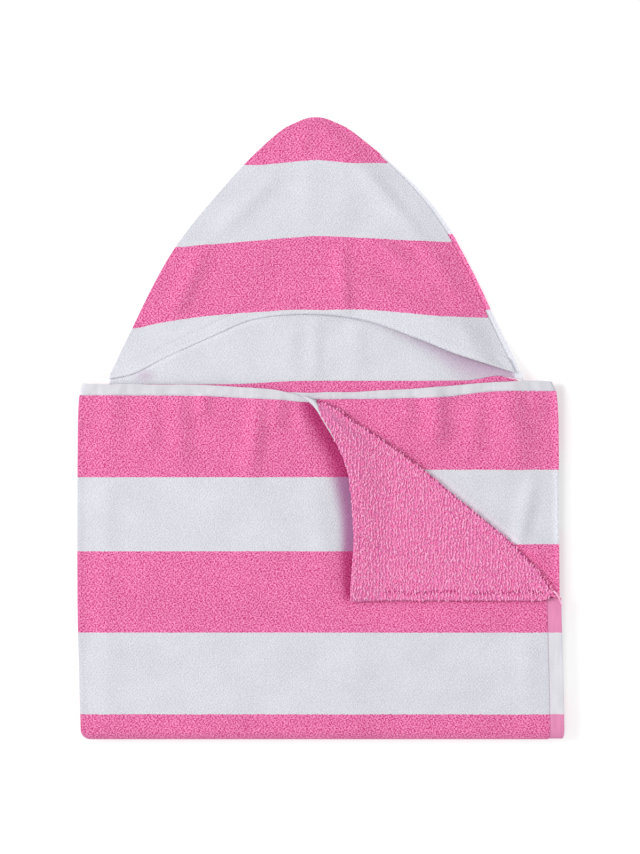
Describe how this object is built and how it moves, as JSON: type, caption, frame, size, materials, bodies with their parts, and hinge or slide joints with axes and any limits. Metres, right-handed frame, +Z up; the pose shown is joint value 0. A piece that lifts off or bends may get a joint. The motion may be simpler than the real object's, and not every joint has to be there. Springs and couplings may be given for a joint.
{
  "type": "hooded bath towel",
  "caption": "Child's hooded bath towel in wide pink and white stripes, folded flat with one front corner turned down.",
  "frame": {"origin": "centre of the folded towel's outline, on the surface that it lies on", "axes": "+X to the right, +Y towards the hood's tip, +Z up from the surface"},
  "size_m": [0.4259, 0.5452, 0.0239],
  "materials": {
    "terry_pink": "matte looped cotton pile",
    "terry_white": "matte looped cotton pile",
    "hem_white": "matte flat-woven cotton"
  },
  "bodies": {
    "root": {"hidden_layers": "terry_pink", "centre_panel": "terry_pink", "right_panel": "terry_pink", "left_panel": "terry_pink", "top_hem_right": "hem_white", "top_hem_left": "hem_white", "side_hem": "hem_white", "hood_back": "terry_white", "hood_front": "terry_white"}
  },
  "joints": []
}
